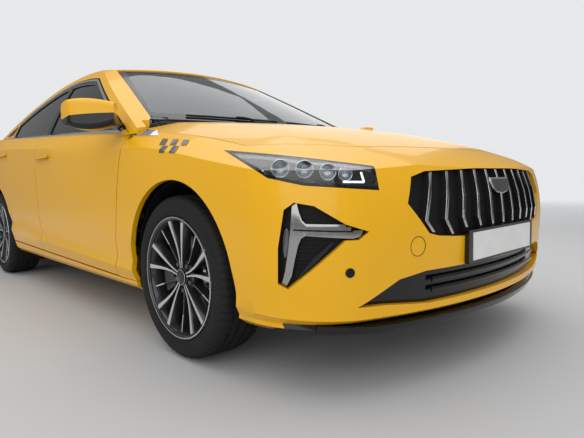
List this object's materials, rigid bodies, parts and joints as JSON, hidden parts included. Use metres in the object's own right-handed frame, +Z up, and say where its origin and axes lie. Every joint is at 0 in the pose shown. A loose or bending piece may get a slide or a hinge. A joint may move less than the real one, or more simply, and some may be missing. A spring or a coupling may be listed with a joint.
{
  "type": "midsize four-door sedan car",
  "caption": "Midsize sedan in golden yellow with opening doors, bonnet and boot lid, steered front wheels and turning road wheels.",
  "frame": {"origin": "on the ground under the middle of the car", "axes": "+X towards the car's left, -Y towards its nose, +Z up"},
  "size_m": [2.2, 4.7835, 1.4689],
  "materials": {
    "body_paint": "clear-coated golden yellow paint",
    "window_glass": "tinted safety glass",
    "tyre_rubber": "black rubber",
    "wheel_alloy": "machined alloy with dark painted pockets",
    "lamp_lens": "clear lens over a dark housing",
    "tail_lamp_lens": "red lens",
    "black_plastic": "grained black plastic",
    "plate_white": "blank white plate",
    "cabin_plastic": "soft black plastic",
    "cabin_trim": "dark cloth and leather",
    "cast_alloy": "rough cast alloy",
    "bare_steel": "plain steel",
    "dark_steel": "black painted steel"
  },
  "bodies": {
    "body": {"back_window": "window_glass", "boot_floor": "cabin_trim", "bulkhead": "dark_steel", "bumper_vents": "black_plastic", "centre_pillars": "dark_steel", "chassis_rails": "dark_steel", "cowl": "black_plastic", "dashboard": "cabin_plastic", "door_hinges": "bare_steel", "engine": "cast_alloy", "exhaust": "bare_steel", "floor": "dark_steel", "front_bumper": "body_paint", "front_fenders": "body_paint", "front_seats": "cabin_trim", "front_suspension": "dark_steel", "grille": "black_plastic", "headlamps": "lamp_lens", "hinge_pillars": "dark_steel", "lower_grille": "black_plastic", "number_plate": "plate_white", "parcel_shelf": "cabin_trim", "plate_frame": "black_plastic", "quarter_windows": "window_glass", "rear_bumper": "body_paint", "rear_quarters": "body_paint", "rear_seat": "cabin_trim", "rear_suspension": "dark_steel", "roof": "body_paint", "roof_rails": "body_paint", "sills": "body_paint", "tail_lamps": "tail_lamp_lens", "wheel_liners": "black_plastic", "windscreen": "window_glass"},
    "front_left_door": {"front_door_left": "body_paint", "front_window_left": "window_glass", "mirror_left": "body_paint"},
    "front_right_door": {"front_door_right": "body_paint", "front_window_right": "window_glass", "mirror_right": "body_paint"},
    "rear_left_door": {"rear_door_left": "body_paint", "rear_window_left": "window_glass"},
    "rear_right_door": {"rear_door_right": "body_paint", "rear_window_right": "window_glass"},
    "bonnet_lid": {"bonnet": "body_paint"},
    "boot": {"boot_lid": "body_paint", "boot_lamp": "tail_lamp_lens"},
    "left_knuckle": {"knuckle_left": "dark_steel"},
    "right_knuckle": {"knuckle_right": "dark_steel"},
    "front_left_roadwheel": {"front_tyre_left": "tyre_rubber", "front_wheel_left": "wheel_alloy"},
    "front_right_roadwheel": {"front_tyre_right": "tyre_rubber", "front_wheel_right": "wheel_alloy"},
    "rear_left_roadwheel": {"rear_tyre_left": "tyre_rubber", "rear_wheel_left": "wheel_alloy"},
    "rear_right_roadwheel": {"rear_tyre_right": "tyre_rubber", "rear_wheel_right": "wheel_alloy"},
    "steering": {"steering_wheel": "cabin_plastic"}
  },
  "joints": [
    {"name": "steer_left", "type": "hinge", "parent": "body", "child": "left_knuckle", "pos_m": [0.755, -1.48, 0.33], "axis": [0, 0, 1], "range_deg": [-35, 35]},
    {"name": "steer_right", "type": "hinge", "parent": "body", "child": "right_knuckle", "pos_m": [-0.755, -1.48, 0.33], "axis": [0, 0, 1], "range_deg": [-35, 35]},
    {"name": "front_left_spin", "type": "hinge", "parent": "left_knuckle", "child": "front_left_roadwheel", "pos_m": [0.805, -1.48, 0.33], "axis": [1, 0, 0], "continuous": true},
    {"name": "front_right_spin", "type": "hinge", "parent": "right_knuckle", "child": "front_right_roadwheel", "pos_m": [-0.805, -1.48, 0.33], "axis": [1, 0, 0], "continuous": true},
    {"name": "rear_left_spin", "type": "hinge", "parent": "body", "child": "rear_left_roadwheel", "pos_m": [0.805, 1.32, 0.33], "axis": [1, 0, 0], "continuous": true},
    {"name": "rear_right_spin", "type": "hinge", "parent": "body", "child": "rear_right_roadwheel", "pos_m": [-0.805, 1.32, 0.33], "axis": [1, 0, 0], "continuous": true},
    {"name": "front_left_door_hinge", "type": "hinge", "parent": "body", "child": "front_left_door", "pos_m": [0.906, -1.055, 0.73], "axis": [0, 0, -1], "range_deg": [0, 65]},
    {"name": "front_right_door_hinge", "type": "hinge", "parent": "body", "child": "front_right_door", "pos_m": [-0.906, -1.055, 0.73], "axis": [0, 0, 1], "range_deg": [0, 65]},
    {"name": "rear_left_door_hinge", "type": "hinge", "parent": "body", "child": "rear_left_door", "pos_m": [0.912, 0.176, 0.65], "axis": [0, 0, -1], "range_deg": [0, 65]},
    {"name": "rear_right_door_hinge", "type": "hinge", "parent": "body", "child": "rear_right_door", "pos_m": [-0.912, 0.176, 0.65], "axis": [0, 0, 1], "range_deg": [0, 65]},
    {"name": "bonnet_hinge", "type": "hinge", "parent": "body", "child": "bonnet_lid", "pos_m": [0, -1.018, 0.968], "axis": [-1, 0, 0], "range_deg": [0, 55]},
    {"name": "boot_hinge", "type": "hinge", "parent": "body", "child": "boot", "pos_m": [0, 1.955, 1.085], "axis": [1, 0, 0], "range_deg": [0, 65]},
    {"name": "steering_column", "type": "hinge", "parent": "body", "child": "steering", "pos_m": [0.37, -0.58, 0.8], "axis": [0, 0.9063, 0.4226], "range_deg": [-490, 490]}
  ],
  "couplings": [
    {"joint": "steer_right", "follows": "steer_left", "ratio": 1},
    {"joint": "steering_column", "follows": "steer_left", "ratio": 14}
  ]
}
